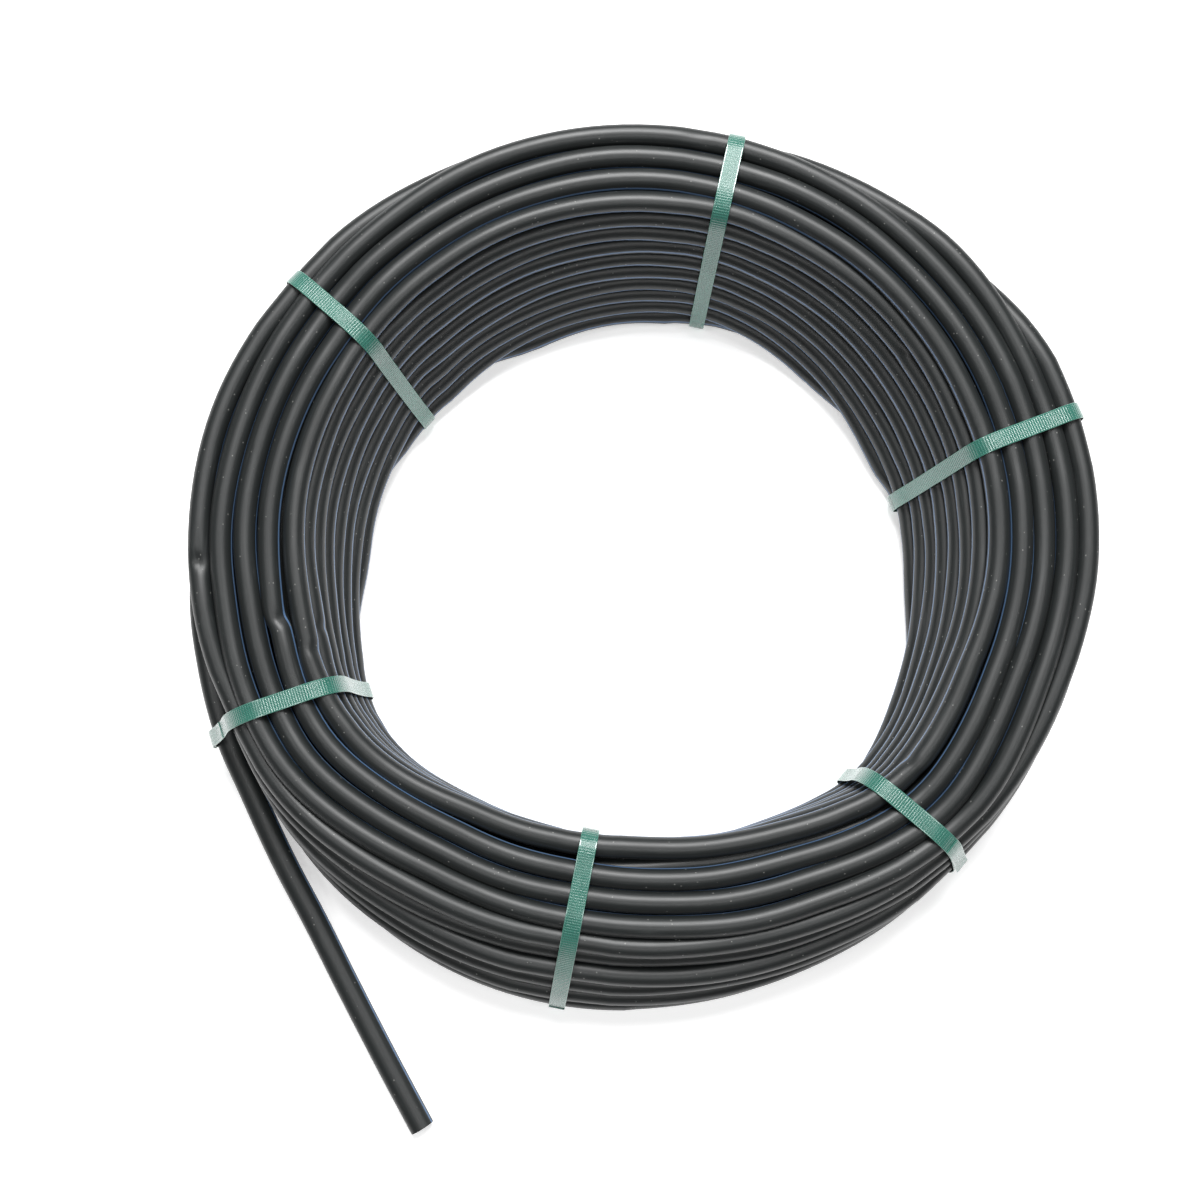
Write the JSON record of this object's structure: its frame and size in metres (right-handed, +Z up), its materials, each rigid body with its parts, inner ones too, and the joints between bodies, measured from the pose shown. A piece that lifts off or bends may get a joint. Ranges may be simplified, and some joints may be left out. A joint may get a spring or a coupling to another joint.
{
  "type": "soaker hose coil",
  "caption": "Strapped coil of smooth black irrigation soaker hose with thin blue pinstripes, green packing straps and one loose cut end.",
  "frame": {"origin": "middle of the floor area that the whole object covers, on the floor", "axes": "+Z up along the coil's axis; -Y towards the side where the hose end lies on the floor; +X to that side's right"},
  "size_m": [0.6659, 0.7337, 0.144],
  "materials": {
    "hose_black": "soft satin, with fine lengthwise streaks and a thin blue stripe",
    "strap_green": "embossed, glossy, slightly translucent"
  },
  "bodies": {
    "root": {"hose_coil": "hose_black", "hose_free_end": "hose_black", "strap_a": "strap_green", "strap_b": "strap_green", "strap_c": "strap_green", "strap_d": "strap_green", "strap_e": "strap_green", "strap_f": "strap_green"}
  },
  "joints": []
}
